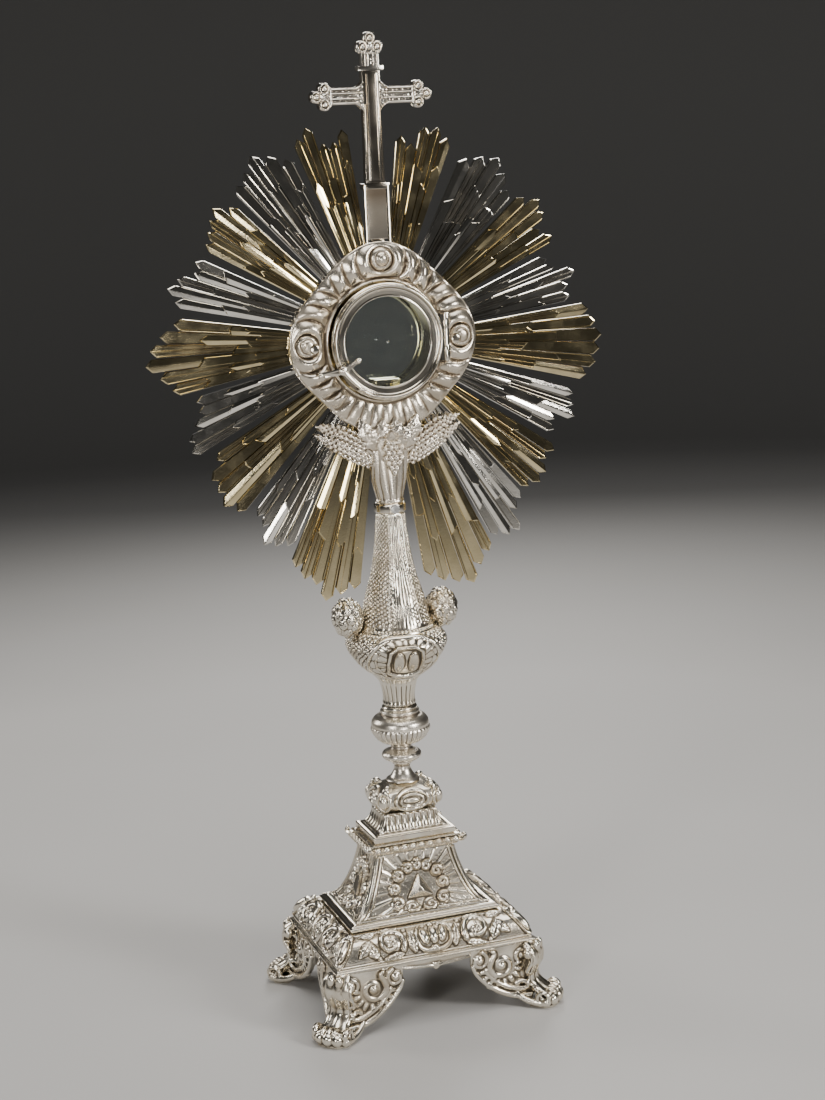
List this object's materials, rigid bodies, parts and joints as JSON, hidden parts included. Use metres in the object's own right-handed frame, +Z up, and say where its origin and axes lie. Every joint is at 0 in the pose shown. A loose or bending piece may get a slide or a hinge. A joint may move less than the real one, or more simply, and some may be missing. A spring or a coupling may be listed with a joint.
{
  "type": "monstrance",
  "caption": "Table monstrance: four-footed silver base, turned stem, sunburst of gilt and silver rays, round glazed chamber with a hinged door and latch, cross on top.",
  "frame": {"origin": "centre of the base on the surface it stands on", "axes": "+Z up to the cross, front (the chamber's door) towards -Y, +X to the right as seen from the front"},
  "size_m": [0.3397, 0.1592, 0.7],
  "materials": {
    "silver_polished": "mirror-polished silver plate",
    "silver_chased": "chased silver plate with dark tarnish in the recesses",
    "silver_matt": "pressed silver with a soft warm tarnish",
    "silver_gilt": "pale polished silver gilt",
    "steel": "plain steel fixings",
    "glass": "clear flat glass"
  },
  "bodies": {
    "stand": {"foot_front_left": "silver_chased", "foot_front_right": "silver_chased", "foot_rear_left": "silver_chased", "foot_rear_right": "silver_chased", "lower_cornice": "silver_chased", "base_frieze": "silver_chased", "middle_cornice": "silver_polished", "pyramid_shell": "silver_chased", "beaded_plate": "silver_chased", "fluted_plinth": "silver_chased", "capital_block": "silver_chased", "tie_rod": "steel", "rod_nut": "steel", "lower_spool": "silver_polished", "knop": "silver_polished", "fluted_neck": "silver_polished", "vase_node": "silver_chased", "globe_left": "silver_chased", "globe_right": "silver_chased", "cone_sleeve": "silver_chased", "upper_collar": "silver_polished", "collar_screw": "steel", "flared_socket": "silver_chased", "wheat_left": "silver_chased", "wheat_right": "silver_chased", "grape_cluster": "silver_chased", "chamber_drum": "silver_gilt", "lunette_rail": "silver_gilt", "rear_bezel": "silver_gilt", "rear_glass": "glass", "cloud_frame": "silver_matt", "frame_screws": "silver_polished", "latch_stud": "silver_polished", "hinge_leaf": "silver_polished", "hinge_pin": "silver_polished", "cross_post": "silver_polished", "cross_body": "silver_polished", "cross_finial": "silver_polished", "fan_right_1": "silver_gilt", "fan_right_2": "silver_polished", "fan_right_3": "silver_gilt", "fan_right_4": "silver_polished", "fan_right_5": "silver_gilt", "fan_right_6": "silver_polished", "fan_right_7": "silver_gilt", "fan_right_8": "silver_polished", "fan_right_9": "silver_gilt", "fan_left_1": "silver_gilt", "fan_left_2": "silver_polished", "fan_left_3": "silver_gilt", "fan_left_4": "silver_polished", "fan_left_5": "silver_gilt", "fan_left_6": "silver_polished", "fan_left_7": "silver_gilt", "fan_left_8": "silver_polished", "fan_left_9": "silver_gilt"},
    "door": {"door_bezel": "silver_polished", "door_glass": "glass", "latch_rivet": "silver_polished"},
    "latch": {"latch_lever": "silver_polished"}
  },
  "joints": [
    {"name": "door_hinge", "type": "hinge", "parent": "stand", "child": "door", "pos_m": [0.044, -0.012, 0.489], "axis": [0, 0, 1], "range_deg": [0, 110]},
    {"name": "latch_pivot", "type": "hinge", "parent": "door", "child": "latch", "pos_m": [-0.037, -0.0223, 0.472], "axis": [0, 1, 0], "range_deg": [0, 60]}
  ]
}
